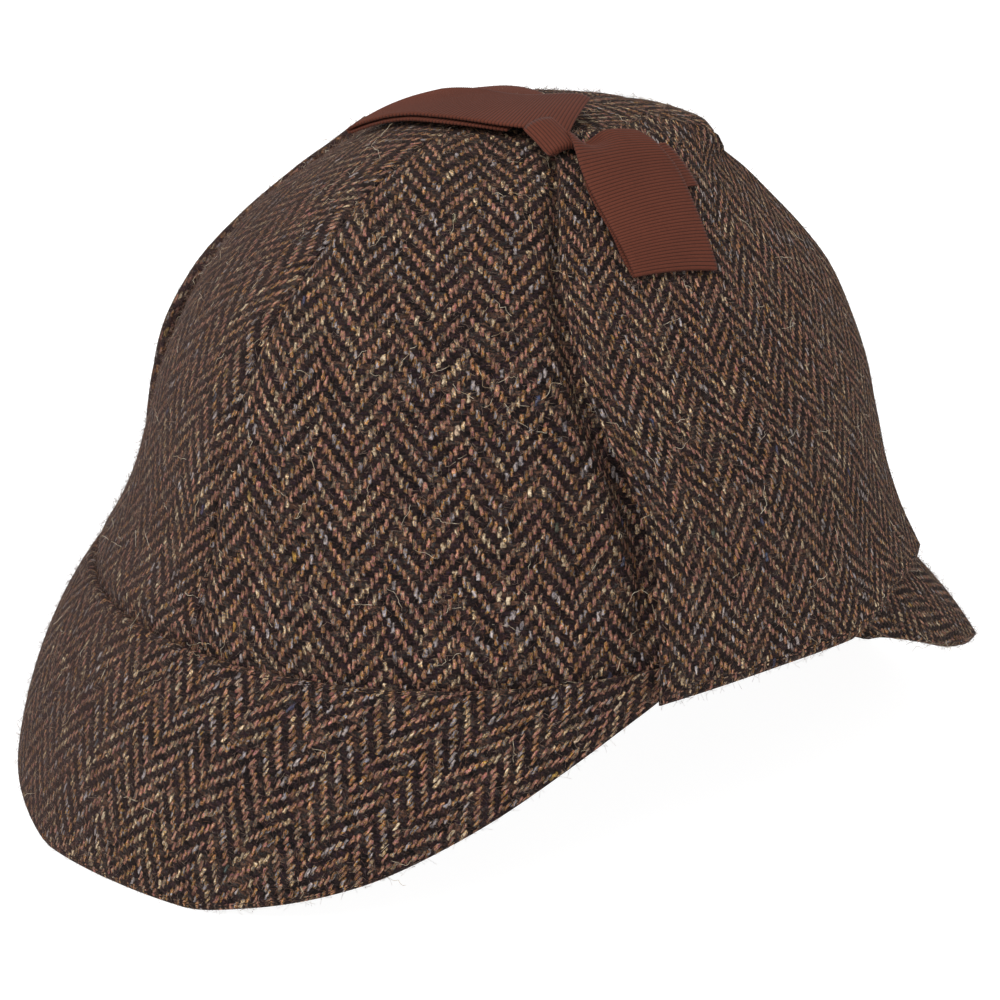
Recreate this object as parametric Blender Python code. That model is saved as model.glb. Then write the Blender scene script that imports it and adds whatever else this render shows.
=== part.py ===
# Deerstalker hat: four crown panels, two stiffened peaks, two tied-up ear flaps
# and the ribbon bow that holds them. Metres, +Z up, the front peak points to -Y,
# the wearer's left is +X. The hat stands on the lower edges of its two peaks.
import bpy
import math
from mathutils import Vector

# driving dimensions
BASE_FRONT = 0.1020     # the crown outline at its lower edge, ahead of the middle
BASE_BACK = 0.0995      # and behind it
BASE_WIDE = 0.0890      # half width of it
BASE_SQUARE = 2.17      # 2 is an ellipse, more is squarer
DIP_FRONT = 0.0024      # the lower edge dips this much in front of the ears
DIP_BACK = 0.0065       # and this much behind them
CROWN_RISE = 0.1065     # lower edge of the crown to its top
CROWN_THICK = 0.0022    # tweed with its lining
CROWN_LEAN = 0.0022     # how far the top leans back
GORE_FLAT = 0.080       # seams stand out and panel middles lie flatter by this share
SEAM_SOFT = 0.03        # how rounded the corner along a seam is
SEAM_GAP = 0.0003

PEAK_THICK = 0.0032     # two tweeds and a stiffener
PEAK_GAP = 0.0003
EAR_HEIGHT = 0.0538     # lower edge of the crown over the ears, above the floor
FRONT_END_DEG = 71.0
BACK_END_DEG = 68.5
PEAK_SPREAD = 0.14      # the sides of a peak open outward by this share
FRONT_BOW = 0.070       # and its face bulges by this share of its length
BACK_BOW = 0.030

FLAP_THICK = 0.0032     # two tweeds face to face
FLAP_CLEAR = 0.0007
FLAP_DROP = 0.0061      # the flap hangs this far below the crown's lower edge
FLAP_DROP_ENDS = (103.0, 119.0)  # over the back peak it rests on the seam
FLAP_CORNER = 0.0015    # its front corner hangs this much lower still
LEFT_LIFT = 0.0042      # its front edge stands off by this more
RIGHT_LIFT = 0.0022
LIFT_START, LIFT_END = 0.12, 0.79  # the first swells over this part of the height
REAR_LIFT = 0.0022      # and its rear corner at the top by this

RIBBON_WIDE = 0.0235
RIBBON_THICK = 0.0009
KNOT_WIDE = 0.0090
REAR_LIFT_FROM = 0.86   # of the flap's height

# points across each piece
PANEL_COLUMNS = 15
PEAK_COLUMNS = 41
PEAK_ROWS = 6
FLAP_COLUMNS = 15
RIBBON_COLUMNS = 7
SLOPE_STEP = 0.004      # rise between the points that give the crown's slope
PEAK_STEP = 0.01        # and turn between those that give a peak's
FLAP_ROW_GAP = 0.012    # least rise between a flap's last two rows
WALK_STEPS = 239        # steps of the walk down from the crown's top
WALK_RISE = 0.62        # and how far it goes

# rise: share of CROWN_RISE, reach: share of the outline
CROWN_PROFILE = [
    # rise, reach (the first row is for the flap's hanging edge)
    (-0.084, 1.030), (0.000, 1.000), (0.105, 0.950), (0.210, 0.916),
    (0.315, 0.896), (0.421, 0.868), (0.526, 0.824), (0.631, 0.767),
    (0.715, 0.692), (0.789, 0.609), (0.862, 0.518), (0.911, 0.443),
    (0.944, 0.375), (0.967, 0.305), (0.984, 0.218), (0.994, 0.133),
    (0.998, 0.075), (1.000, 0.000),
]
# length: share of the peak's length in the middle
FRONT_PEAK = [
    # place, length, slope
    (0.00, 1.000, 65.0), (0.16, 1.000, 65.0), (0.28, 0.948, 65.0),
    (0.47, 0.810, 65.0), (0.65, 0.590, 65.5), (0.79, 0.390, 66.0),
    (0.89, 0.245, 68.0), (0.95, 0.160, 73.0), (1.00, 0.090, 78.0),
]
BACK_PEAK = [
    # place, length, slope
    (0.00, 1.000, 60.0), (0.05, 1.000, 60.0), (0.12, 0.950, 58.5),
    (0.23, 0.900, 56.7), (0.35, 0.845, 55.0), (0.47, 0.765, 51.2),
    (0.53, 0.722, 48.2), (0.58, 0.675, 47.2), (0.64, 0.622, 47.8),
    (0.70, 0.568, 49.6), (0.76, 0.488, 53.2), (0.88, 0.332, 58.5),
    (0.94, 0.245, 64.8), (1.00, 0.090, 71.2),
]
# a flap's two upright edges, in degrees round from the front
LEFT_FLAP = [
    # rise, front, rear
    (0.00, 65.4, 138.0), (0.17, 66.1, 139.5), (0.30, 64.6, 139.8),
    (0.41, 61.6, 139.3), (0.50, 58.3, 139.0), (0.61, 55.5, 138.5),
    (0.75, 53.6, 137.0), (0.86, 55.0, 135.5), (0.972, 59.0, 133.0),
]
RIGHT_FLAP = [
    # rise, front, rear
    (0.00, 65.5, 138.0), (0.12, 62.0, 139.8), (0.24, 56.5, 139.5),
    (0.40, 54.5, 139.0), (0.54, 58.0, 138.5), (0.64, 70.0, 138.0),
    (0.74, 81.0, 136.0), (0.860, 86.0, 131.0),
]
# soft hollows and swellings of the crown
DENTS = [
    # turn, rise, turn width, rise width, share of the reach (less is a hollow)
    (-50.0, 0.93, 40.0, 0.08, -0.065),
    (-60.0, 0.74, 22.0, 0.06, 0.035),
    (120.0, 0.93, 34.0, 0.08, 0.055),
    (143.0, 0.93, 32.0, 0.045, 0.075),
    (158.0, 0.975, 36.0, 0.030, 0.120),
]
# ribbon paths: along the ribbon's own line and height over the crown, in mm,
# shift sideways in mm, share of its width and turn of it in degrees
FAR_LINE = ((20.0, -9.0), (-0.985, -0.17))     # start and heading on the plan
FAR_PATH = [
    # along, height, shift, share, turn
    (8.5, 2.6, 0.0, 0.80, 8), (12.0, 2.3, 0.0, 0.88, 4), (17.0, 2.05, 0.3, 0.94, 0),
    (23.0, 1.95, 0.5, 1.00, -6), (30.0, 1.95, 0.5, 1.00, -14), (37.0, 1.95, 0.5, 1.00, -24),
    (42.0, 1.95, 0.8, 0.98, -32), (45.0, 2.0, 1.2, 0.96, -37), (46.0, 2.55, 1.3, 0.96, -38),
    (45.0, 3.1, 1.2, 0.96, -37), (42.0, 3.15, 0.9, 0.96, -32), (37.0, 3.15, 0.9, 0.95, -25),
    (30.0, 3.15, 1.2, 0.90, -15), (24.0, 3.2, 1.6, 0.86, -5), (18.0, 3.4, 1.6, 0.83, 3),
    (12.0, 3.9, 0.9, 0.84, 10), (6.5, 4.7, -0.6, 0.87, 15), (2.0, 5.45, -2.4, 0.90, 19),
    (-1.0, 5.65, -3.6, 0.92, 21), (-2.8, 5.25, -4.0, 0.92, 21),
]
KNOT_LINE = ((26.6, -12.5), (-0.20, -0.98))
KNOT_PATH = [
    # along, height, shift, share, turn
    (1.5, 6.75, 0.0, 1.0, 0), (3.5, 7.1, 0.0, 1.0, 0), (5.5, 7.0, 0.0, 1.0, 0),
    (7.4, 6.4, 0.0, 1.0, 0), (8.4, 5.6, 0.0, 1.0, 0), (7.8, 4.95, 0.0, 1.0, 0),
    (6.0, 4.75, 0.0, 1.0, 0),
]
NEAR_LINE = ((32.4, -8.6), (0.985, -0.15))
NEAR_PATH = [
    # along, height, shift, share, turn
    (6.5, 5.9, 0.0, 0.80, 0), (4.0, 5.9, 0.8, 0.68, -8), (1.6, 6.1, 1.4, 0.56, -16),
    (0.5, 6.8, 1.6, 0.54, -20), (1.2, 7.7, 1.4, 0.58, -18), (3.6, 8.3, 0.8, 0.70, -12),
    (7.0, 8.3, 0.0, 0.88, -6), (11.0, 7.9, 0.0, 0.97, -2), (16.0, 7.6, 0.0, 1.00, 0),
    (21.0, 7.4, 0.0, 1.00, 0), (26.0, 7.3, 0.0, 1.00, -2), (30.5, 7.0, 0.0, 1.00, -4),
    (33.5, 6.6, 0.0, 1.00, -6), (35.2, 6.3, 0.0, 1.00, -7), (35.7, 5.7, 0.0, 1.00, -7),
    (34.9, 5.1, 0.0, 1.00, -7), (32.0, 4.9, 0.0, 1.00, -6), (28.5, 5.2, 0.0, 1.00, -5),
    (25.5, 5.8, 0.0, 1.00, -3), (22.0, 6.05, 0.0, 1.00, 0), (18.0, 6.05, 0.0, 1.00, 0),
    (14.0, 6.05, 0.0, 0.98, 0), (10.0, 6.0, 0.0, 0.92, 0),
]
TAIL_LINE = ((37.6, -4.2), (1.0, 0.0))
TAIL_PATH = [
    # its cut end lies on the flap and the near loop hides the rest
    (0.0, 4.9, 0.0, 0.95, 0), (4.0, 4.9, 0.0, 1.00, 0), (8.0, 4.9, 0.0, 1.00, 0),
    (12.0, 4.9, 0.0, 1.00, 0),
]
STRAP_LINE = ((-48.3, 8.0), (0.986, -0.169))
STRAP_PATH = [
    # from the seam at the top of the far flap to the knot
    (0.7, 2.3, 0.0, 1.0, 0), (2.5, 1.9, 0.0, 1.0, 0), (4.5, 1.2, 0.0, 1.0, 0),
    (7.0, 0.8, -0.3, 1.0, 0), (13.0, 0.75, -0.8, 1.0, 0), (20.0, 0.75, -0.8, 1.0, 0),
    (27.0, 0.75, -0.7, 1.0, 0), (35.0, 0.75, -1.0, 1.0, 0), (42.0, 0.75, -2.0, 1.0, 0),
    (47.0, 0.8, -3.0, 0.98, 0), (50.5, 1.0, -3.7, 0.95, 0),
]


# helpers
def lookUp(table, place, column):
    """Smooth value of a column at a place in the first one, never past its neighbours."""
    if place <= table[0][0]:
        return table[0][column]
    if place >= table[-1][0]:
        return table[-1][column]
    k = 0
    while table[k + 1][0] < place:
        k += 1
    x0, x1 = table[k][0], table[k + 1][0]
    y0, y1 = table[k][column], table[k + 1][column]
    step = (y1 - y0) / (x1 - x0)

    def side(i, j, flat):
        if i < 0 or j >= len(table):
            return flat
        other = (table[j][column] - table[i][column]) / (table[j][0] - table[i][0])
        return 0.0 if other * step <= 0 else 2 * other * step / (other + step)
    m0 = side(k - 1, k, step)
    m1 = side(k + 1, k + 2, step)
    h = x1 - x0
    t = (place - x0) / h
    return ((2 * t**3 - 3 * t**2 + 1) * y0 + (t**3 - 2 * t**2 + t) * h * m0
            + (3 * t**2 - 2 * t**3) * y1 + (t**3 - t**2) * h * m1)


def baseReach(turn):
    """Distance from the middle to the crown outline, turn from the front."""
    s = abs(math.sin(turn)) / BASE_WIDE
    c = abs(math.cos(turn)) / (BASE_FRONT if math.cos(turn) > 0 else BASE_BACK)
    return (s**BASE_SQUARE + c**BASE_SQUARE) ** (-1 / BASE_SQUARE)


def baseHeight(turn):
    """Height of the crown's lower edge, which dips over the forehead and the neck."""
    dip = DIP_FRONT if math.cos(turn) > 0 else DIP_BACK
    return EAR_HEIGHT - dip * math.cos(turn) ** 2


def heightAt(turn, rise):
    """The dip of the lower edge fades out towards the top."""
    return EAR_HEIGHT + rise * CROWN_RISE - (EAR_HEIGHT - baseHeight(turn)) * (1 - rise) ** 2


def reachAt(turn, rise):
    across = math.sqrt(math.sin(2 * turn) ** 2 + SEAM_SOFT)
    bulge = 1 - GORE_FLAT * min(1.0, max(0.0, rise * 3)) * (across - 0.5)
    for dentTurn, dentRise, wideTurn, wideRise, share in DENTS:
        off = math.degrees(turn) - dentTurn
        off = (off + 180) % 360 - 180
        bulge += share * math.exp(-(off / wideTurn) ** 2 - ((rise - dentRise) / wideRise) ** 2)
    return baseReach(turn) * lookUp(CROWN_PROFILE, rise, 1) * bulge


def crownPoint(turn, rise, out=0.0):
    """Point on the crown's outside, moved out square to its slope."""
    lo, hi = max(CROWN_PROFILE[0][0], rise - SLOPE_STEP), min(1.0, rise + SLOPE_STEP)
    dr = reachAt(turn, hi) - reachAt(turn, lo)
    dz = heightAt(turn, hi) - heightAt(turn, lo)
    size = math.hypot(dr, dz)
    reach = reachAt(turn, rise) + out * dz / size
    height = heightAt(turn, rise) - out * dr / size
    return Vector((reach * math.sin(turn),
                   -reach * math.cos(turn) + CROWN_LEAN * max(0.0, rise)**1.5, height))


def addSolid(name, outer, inner, material):
    """Closed solid between two grids of points of one size."""
    rows, cols = len(outer), len(outer[0])
    points = [p for row in outer for p in row] + [p for row in inner for p in row]
    half = rows * cols

    def at(i, j, layer):
        return layer * half + i * cols + j
    faces = []
    for i in range(rows - 1):
        for j in range(cols - 1):
            faces.append((at(i, j, 0), at(i, j + 1, 0), at(i + 1, j + 1, 0), at(i + 1, j, 0)))
            faces.append((at(i, j, 1), at(i + 1, j, 1), at(i + 1, j + 1, 1), at(i, j + 1, 1)))
    for j in range(cols - 1):
        faces.append((at(0, j, 0), at(0, j, 1), at(0, j + 1, 1), at(0, j + 1, 0)))
        k = rows - 1
        faces.append((at(k, j, 0), at(k, j + 1, 0), at(k, j + 1, 1), at(k, j, 1)))
    for i in range(rows - 1):
        faces.append((at(i, 0, 0), at(i + 1, 0, 0), at(i + 1, 0, 1), at(i, 0, 1)))
        k = cols - 1
        faces.append((at(i, k, 0), at(i, k, 1), at(i + 1, k, 1), at(i + 1, k, 0)))
    mesh = bpy.data.meshes.new(name)
    mesh.from_pydata([tuple(p) for p in points], [], faces)
    mesh.update()
    volume = sum(mesh.vertices[p.vertices[0]].co.dot(p.normal) * p.area for p in mesh.polygons)
    if volume < 0:
        mesh.flip_normals()
    mesh.materials.append(material)
    obj = bpy.data.objects.new(name, mesh)
    bpy.context.scene.collection.objects.link(obj)
    return obj


def addMaterial(name, colour, rough):
    mat = bpy.data.materials.new(name)
    mat.use_nodes = True
    bsdf = mat.node_tree.nodes["Principled BSDF"]
    bsdf.inputs["Base Color"].default_value = (*colour, 1)
    bsdf.inputs["Roughness"].default_value = rough
    return mat


def evenSteps(lo, hi, count):
    return [lo + (hi - lo) * k / (count - 1) for k in range(count)]


# crown
# the rows of points lie closer where the crown turns over to its top
PANEL_RISES = [0.0, 0.07, 0.15, 0.24, 0.33, 0.42, 0.51, 0.60, 0.68,
               0.76, 0.83, 0.89, 0.935, 0.967, 0.987, 0.9985, 0.9998]


def addCrownPanel(name, startDeg, material):
    turns = evenSteps(math.radians(startDeg), math.radians(startDeg + 90), PANEL_COLUMNS)

    def grid(out):
        rows = []
        for rise in PANEL_RISES:
            row = [crownPoint(turn, rise, out) for turn in turns]
            for k, sign in ((0, 1), (-1, -1)):
                along = Vector((math.cos(turns[k]), math.sin(turns[k]), 0))
                row[k] = row[k] + along * sign * SEAM_GAP / 2
            rows.append(row)
        return rows
    outer = grid(0.0)
    inner = grid(-CROWN_THICK)
    for p, q in zip(inner[0], outer[0]):
        p.z = q.z
    return addSolid(name, outer, inner, material)


# peaks
def peakPoint(turn, share, table, endDeg, length, bulge, side):
    place = min(1.0, abs(turn) / math.radians(endDeg))
    slope = math.radians(lookUp(table, place, 2))
    run = length * lookUp(table, place, 1) * share
    around = turn if side > 0 else math.pi - turn
    reach = baseReach(around)
    x, y = reach * math.sin(turn), reach * math.cos(turn)
    spread = PEAK_SPREAD * x / BASE_WIDE * (1 - place**4)
    bow = 4 * share * (1 - share) * bulge * length * lookUp(table, place, 1)
    return Vector((x + run * spread + bow * math.sin(turn) * math.sin(slope),
                   side * (-y - run * math.cos(slope) - bow * math.cos(turn) * math.sin(slope)),
                   baseHeight(around) - PEAK_GAP - run * math.sin(slope) + bow * math.cos(slope)))


def addPeak(name, table, endDeg, bulge, side, material):
    root = baseHeight(0.0 if side > 0 else math.pi) - PEAK_GAP
    length = root / math.sin(math.radians(table[0][2]))
    turns = [math.radians(endDeg) * t for t in evenSteps(-1, 1, PEAK_COLUMNS)]
    shares = evenSteps(0, 1, PEAK_ROWS)
    outer, inner = [], []
    for share in shares:
        outRow, inRow = [], []
        for turn in turns:
            p = peakPoint(turn, share, table, endDeg, length, bulge, side)
            a = peakPoint(turn + PEAK_STEP, share, table, endDeg, length, bulge, side)
            b = peakPoint(turn - PEAK_STEP, share, table, endDeg, length, bulge, side)
            c = peakPoint(turn, share + PEAK_STEP, table, endDeg, length, bulge, side)
            n = (a - b).cross(c - p).normalized()
            if n.dot(Vector((p.x, p.y, 0))) < 0:
                n = -n
            q = p - n * PEAK_THICK
            q.z = max(0.0, q.z)
            outRow.append(p)
            inRow.append(q)
        outer.append(outRow)
        inner.append(inRow)
    return addSolid(name, outer, inner, material)


# ear flaps
def flapPoint(across, rise, out, side, table):
    front, rear = lookUp(table, rise, 1), lookUp(table, rise, 2)
    turn = math.radians(front + (rear - front) * across)
    edge = max(0.0, 1 - 3 * across) ** 2
    swell = math.sin(math.pi * min(1.0, LIFT_START + (1 - LIFT_START) * rise / LIFT_END))
    lift = (LEFT_LIFT if side > 0 else RIGHT_LIFT) * edge * swell
    if side > 0:
        above = max(0.0, rise / table[-1][0] - REAR_LIFT_FROM) / (1 - REAR_LIFT_FROM)
        lift += REAR_LIFT * across ** 4 * above
    beyond = (math.degrees(turn) - FLAP_DROP_ENDS[0]) / (FLAP_DROP_ENDS[1] - FLAP_DROP_ENDS[0])
    hang = FLAP_DROP * (1 - min(1.0, max(0.0, beyond))) + FLAP_CORNER * edge
    drop = hang / CROWN_RISE * (1 - rise) ** 6
    p = crownPoint(turn, rise - drop, out + lift)
    p.x *= side
    return p


def addFlap(name, side, table, material):
    top = table[-1][0]
    rises = [r for r in PANEL_RISES if r < top - FLAP_ROW_GAP] + [top]

    def grid(out):
        return [[flapPoint(a, rise, out, side, table) for a in evenSteps(0, 1, FLAP_COLUMNS)]
                for rise in rises]
    return addSolid(name, grid(FLAP_CLEAR + FLAP_THICK), grid(FLAP_CLEAR), material)


# ribbon
def roofPoint(east, north, lift):
    """Point over the top: a plan of true lengths laid over the crown from its top."""
    walk = math.hypot(east, north)
    turn = math.atan2(east, -north)
    rise, gone = 1.0, 0.0
    last = crownPoint(turn, 1.0)
    for k in range(1, WALK_STEPS + 1):
        nxt = 1.0 - WALK_RISE * (k / WALK_STEPS) ** 2
        p = crownPoint(turn, nxt)
        step = (p - last).length
        if gone + step >= walk:
            rise = rise + (nxt - rise) * (walk - gone) / step
            break
        gone += step
        rise, last = nxt, p
    return crownPoint(turn, rise, lift)


def addRibbon(name, line, path, width, material):
    """Strip of ribbon along a path of its own over the crown."""
    (startEast, startNorth), (goEast, goNorth) = line
    size = math.hypot(goEast, goNorth)
    goEast, goNorth = goEast / size, goNorth / size

    def place(along, height, shift, turn, u):
        c, s = math.cos(math.radians(turn)), math.sin(math.radians(turn))
        sideEast, sideNorth = -goNorth * c - goEast * s, goEast * c - goNorth * s
        return roofPoint((startEast + along * goEast - shift * goNorth) / 1000 + u * sideEast,
                         (startNorth + along * goNorth + shift * goEast) / 1000 + u * sideNorth,
                         height / 1000)
    outer, inner = [], []
    for k, (along, height, shift, share, turn) in enumerate(path):
        before, after = path[max(0, k - 1)], path[min(len(path) - 1, k + 1)]
        da, dh = after[0] - before[0], after[1] - before[1]
        half = RIBBON_THICK * 500 / math.hypot(da, dh)
        steps = evenSteps(-width * share / 2, width * share / 2, RIBBON_COLUMNS)
        outer.append([place(along - dh * half, height + da * half, shift, turn, u) for u in steps])
        inner.append([place(along + dh * half, height - da * half, shift, turn, u) for u in steps])
    return addSolid(name, outer, inner, material)


def clean():
    for obj in list(bpy.data.objects):
        bpy.data.objects.remove(obj, do_unlink=True)


clean()
TWEED = addMaterial("tweed", (0.085, 0.055, 0.042), 0.95)
PEAK_TWEED = addMaterial("peak_tweed", (0.085, 0.055, 0.042), 0.95)
RIBBON = addMaterial("grosgrain", (0.18, 0.065, 0.045), 0.7)

for name, start in (("crown_panel_front_left", 0), ("crown_panel_back_left", 90),
                    ("crown_panel_back_right", 180), ("crown_panel_front_right", 270)):
    addCrownPanel(name, start, TWEED)
addPeak("front_peak", FRONT_PEAK, FRONT_END_DEG, FRONT_BOW, 1, PEAK_TWEED)
addPeak("back_peak", BACK_PEAK, BACK_END_DEG, BACK_BOW, -1, PEAK_TWEED)
addFlap("ear_flap_left", 1, LEFT_FLAP, TWEED)
addFlap("ear_flap_right", -1, RIGHT_FLAP, TWEED)
addRibbon("ribbon_loop_far", FAR_LINE, FAR_PATH, RIBBON_WIDE, RIBBON)
addRibbon("ribbon_loop_near", NEAR_LINE, NEAR_PATH, RIBBON_WIDE, RIBBON)
addRibbon("ribbon_knot", KNOT_LINE, KNOT_PATH, KNOT_WIDE, RIBBON)
addRibbon("ribbon_tail", TAIL_LINE, TAIL_PATH, RIBBON_WIDE, RIBBON)
addRibbon("ribbon_strap", STRAP_LINE, STRAP_PATH, RIBBON_WIDE, RIBBON)

# the origin is under the middle of the whole hat
everything = [v.co for obj in bpy.data.objects for v in obj.data.vertices]
middleX = (min(p.x for p in everything) + max(p.x for p in everything)) / 2
middleY = (min(p.y for p in everything) + max(p.y for p in everything)) / 2
for obj in bpy.data.objects:
    for v in obj.data.vertices:
        v.co.x -= middleX
        v.co.y -= middleY
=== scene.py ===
# A tweed deerstalker hat: a crown of four panels, two stiffened peaks, and two
# ear flaps turned up and tied over the top with a ribbon bow.
# Metres throughout, unless a name says millimetres or degrees.
import bisect
import math

import bpy
from mathutils import Matrix, Vector, noise


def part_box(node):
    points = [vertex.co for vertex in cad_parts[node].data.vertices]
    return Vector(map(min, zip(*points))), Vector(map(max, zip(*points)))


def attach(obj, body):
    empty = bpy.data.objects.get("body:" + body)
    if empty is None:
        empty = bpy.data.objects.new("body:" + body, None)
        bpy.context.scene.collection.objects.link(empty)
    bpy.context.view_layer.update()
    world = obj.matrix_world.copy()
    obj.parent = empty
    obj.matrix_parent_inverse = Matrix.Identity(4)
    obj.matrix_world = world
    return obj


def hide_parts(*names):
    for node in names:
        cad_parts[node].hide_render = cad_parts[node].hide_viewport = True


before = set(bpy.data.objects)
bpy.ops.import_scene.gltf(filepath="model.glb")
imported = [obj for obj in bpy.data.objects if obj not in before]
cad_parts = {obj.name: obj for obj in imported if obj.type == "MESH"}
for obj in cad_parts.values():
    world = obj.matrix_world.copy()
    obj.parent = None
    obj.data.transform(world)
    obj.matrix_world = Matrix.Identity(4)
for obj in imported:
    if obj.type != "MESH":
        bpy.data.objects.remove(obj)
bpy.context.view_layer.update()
print("frame loaded:", len(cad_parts), "nodes")

# the crown's middle and the height of its lower edge come from the frame
crown = {
    "front": 0.1020,       # outline at the lower edge, ahead of the middle
    "back": 0.0995,
    "wide": 0.0890,
    "square": 2.17,        # 2 is an ellipse, more is squarer
    "dipFront": 0.0024,    # the lower edge dips over the forehead
    "dipBack": 0.0065,     # and over the neck
    "rise": 0.1065,
    "thick": 0.0022,
    "lean": 0.0022,        # the top leans back
    "goreFlat": 0.080,     # panels lie flatter between their seams
    "seamSoft": 0.03,
    "wave": 0.0007,        # soft unevenness of the cloth
    "waves": (2.4, 3.0),   # how often it changes, round and up
    "profile": [           # rise, reach, both as shares
        (-0.084, 1.030), (0.000, 1.000), (0.105, 0.950), (0.210, 0.916),
        (0.315, 0.896), (0.421, 0.868), (0.526, 0.824), (0.631, 0.767),
        (0.715, 0.692), (0.789, 0.609), (0.862, 0.518), (0.911, 0.443),
        (0.944, 0.375), (0.967, 0.305), (0.984, 0.218), (0.994, 0.133),
        (0.998, 0.075), (1.000, 0.000),
    ],
    "dents": [             # turn, rise, turn width, rise width, share of the reach
        (-50.0, 0.93, 40.0, 0.08, -0.065),
        (-60.0, 0.74, 22.0, 0.06, 0.035),
        (120.0, 0.93, 34.0, 0.08, 0.045),
        (143.0, 0.93, 32.0, 0.045, 0.065),
        (147.0, 0.947, 28.0, 0.028, 0.120),
        (134.0, 0.895, 22.0, 0.034, -0.045),
        (158.0, 0.972, 36.0, 0.035, 0.140),
    ],
}
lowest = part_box("crown_panel_front_left")[0]
baseZ = lowest[2] + crown["dipFront"]    # over the ears
middleY = lowest[1] + crown["front"]

camera = {
    "azimuth": 44.5,       # degrees from straight ahead, towards the wearer's left
    "elevation": 19.2,
    "roll": 1.4,
    "distance": 1.25,      # from the middle of the crown's lower edge
    "lensMm": 187.6,
    "sensorMm": 36.0,
    "shiftX": -0.0055,
    "shiftY": 0.0377,
    "farthest": 20.0,
}


def addObject(name, data):
    obj = bpy.data.objects.new(name, data)
    bpy.context.scene.collection.objects.link(obj)
    return obj


def makeCamera():
    azimuth = math.radians(camera["azimuth"])
    elevation = math.radians(camera["elevation"])
    roll = math.radians(camera["roll"])
    back = Vector((math.sin(azimuth) * math.cos(elevation),
                   -math.cos(azimuth) * math.cos(elevation), math.sin(elevation)))
    level = Vector((math.cos(azimuth), math.sin(azimuth), 0))
    above = back.cross(level)
    right = level * math.cos(roll) + above * math.sin(roll)
    up = above * math.cos(roll) - level * math.sin(roll)
    data = bpy.data.cameras.new("camera")
    data.lens = camera["lensMm"]
    data.sensor_width = camera["sensorMm"]
    data.shift_x = camera["shiftX"]
    data.shift_y = camera["shiftY"]
    data.clip_end = camera["farthest"]
    obj = addObject("camera", data)
    place = Vector((0, middleY, baseZ)) + back * camera["distance"]
    obj.matrix_world = Matrix.Translation(place) @ Matrix((right, up, back)).transposed().to_4x4()
    bpy.context.scene.camera = obj


makeCamera()
print("camera set")


# colours and nodes
def toLinear(hexColour):
    out = []
    for k in (0, 2, 4):
        c = int(hexColour[k:k + 2], 16) / 255
        out.append(c / 12.92 if c <= 0.04045 else ((c + 0.055) / 1.055) ** 2.4)
    return (*out, 1)


def addNode(tree, kind, inputs=None, **settings):
    node = tree.nodes.new(kind)
    for name, value in settings.items():
        setattr(node, name, value)
    for key, value in (inputs or {}).items():
        if isinstance(value, bpy.types.Node):    # its first output in use is meant
            value = next(socket for socket in value.outputs if socket.enabled)
        if isinstance(value, bpy.types.NodeSocket):
            tree.links.new(value, node.inputs[key])
        else:
            node.inputs[key].default_value = value
    return node


def fillRamp(node, stops):
    ramp = node.color_ramp
    while len(ramp.elements) < len(stops):
        ramp.elements.new(0.5)
    for element, (place, colour) in zip(ramp.elements, stops):
        element.position = place
        element.color = toLinear(colour)


def newMaterial(name):
    material = bpy.data.materials.new(name)
    material.use_nodes = True
    tree = material.node_tree
    tree.nodes.clear()
    return material, tree


tweed = {
    "endMm": 1.065,        # one warp thread to the next
    "pickMm": 1.21,        # one weft thread to the next
    "stripe": 8,           # the twill turns after this many ends
    "stray": (             # over this many mm the threads stray by this many mm
        (15.0, 1.00), (3.4, 0.55), (0.8, 0.42),
    ),
    "reliefMm": 0.50,
    "ragged": (0.26, 0.86),    # the weft shows below the first, the warp above the second
    "noises": (            # size in mm, detail, roughness, distortion
        (6.0, 2.0, 0.60, 0.0),    # how the colour drifts
        (1.2, 5.0, 0.78, 1.6),    # the nap
        (0.8, 3.0, 0.70, 1.0),    # loose fibre
    ),
    "streaks": 0.42,       # scale of the streaks in a yarn, counted in threads
    "hazeShare": 0.6,
    "paintedSheen": (0.004, -0.03, 0.38),   # painted sheen on the side seen edge-on: the haze grows from this x to that one, by this share
    "gain": 0.96,
    "sheen": "b8a08a",
    "warp": [              # heather yarn, common colours in the middle
        (0.00, "a89c98"), (0.10, "66708c"), (0.18, "b08a2c"), (0.25, "3c2820"),
        (0.31, "a0582c"), (0.36, "c8a078"), (0.41, "583038"), (0.46, "a0844c"),
        (0.51, "86607e"), (0.56, "a85238"), (0.61, "5c4438"), (0.66, "c8a888"),
        (0.71, "903428"), (0.76, "8c8458"), (0.82, "6c6884"), (0.88, "5c5c30"),
        (0.94, "c08c4c"), (1.00, "c4b094"),
    ],
    "weft": [              # nearly black, with plum and green fibres
        (0.00, "0a0809"), (0.30, "0b0a0d"), (0.40, "2a1a1a"), (0.46, "0b0a0d"),
        (0.53, "261a28"), (0.58, "0a0a0e"), (0.66, "38261f"), (0.74, "121014"),
        (0.85, "262c2c"), (1.00, "50382c"),
    ],
    "haze": [              # loose fibre over both
        (0.00, "6c5c52"), (0.25, "261b1b"), (0.38, "523428"), (0.50, "2a2232"),
        (0.62, "52443c"), (0.76, "341c1e"), (1.00, "887a72"),
    ],
    "fleck": [             # now and then a float of brighter wool
        (0.00, "33487c"), (0.35, "35564c"), (0.50, "b0883a"), (0.75, "98402a"), (1.00, "cfc2a6"),
    ],
    "fleckFrom": 0.994,    # of chances up to 1
    "fleckShare": 0.8,
}


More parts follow.
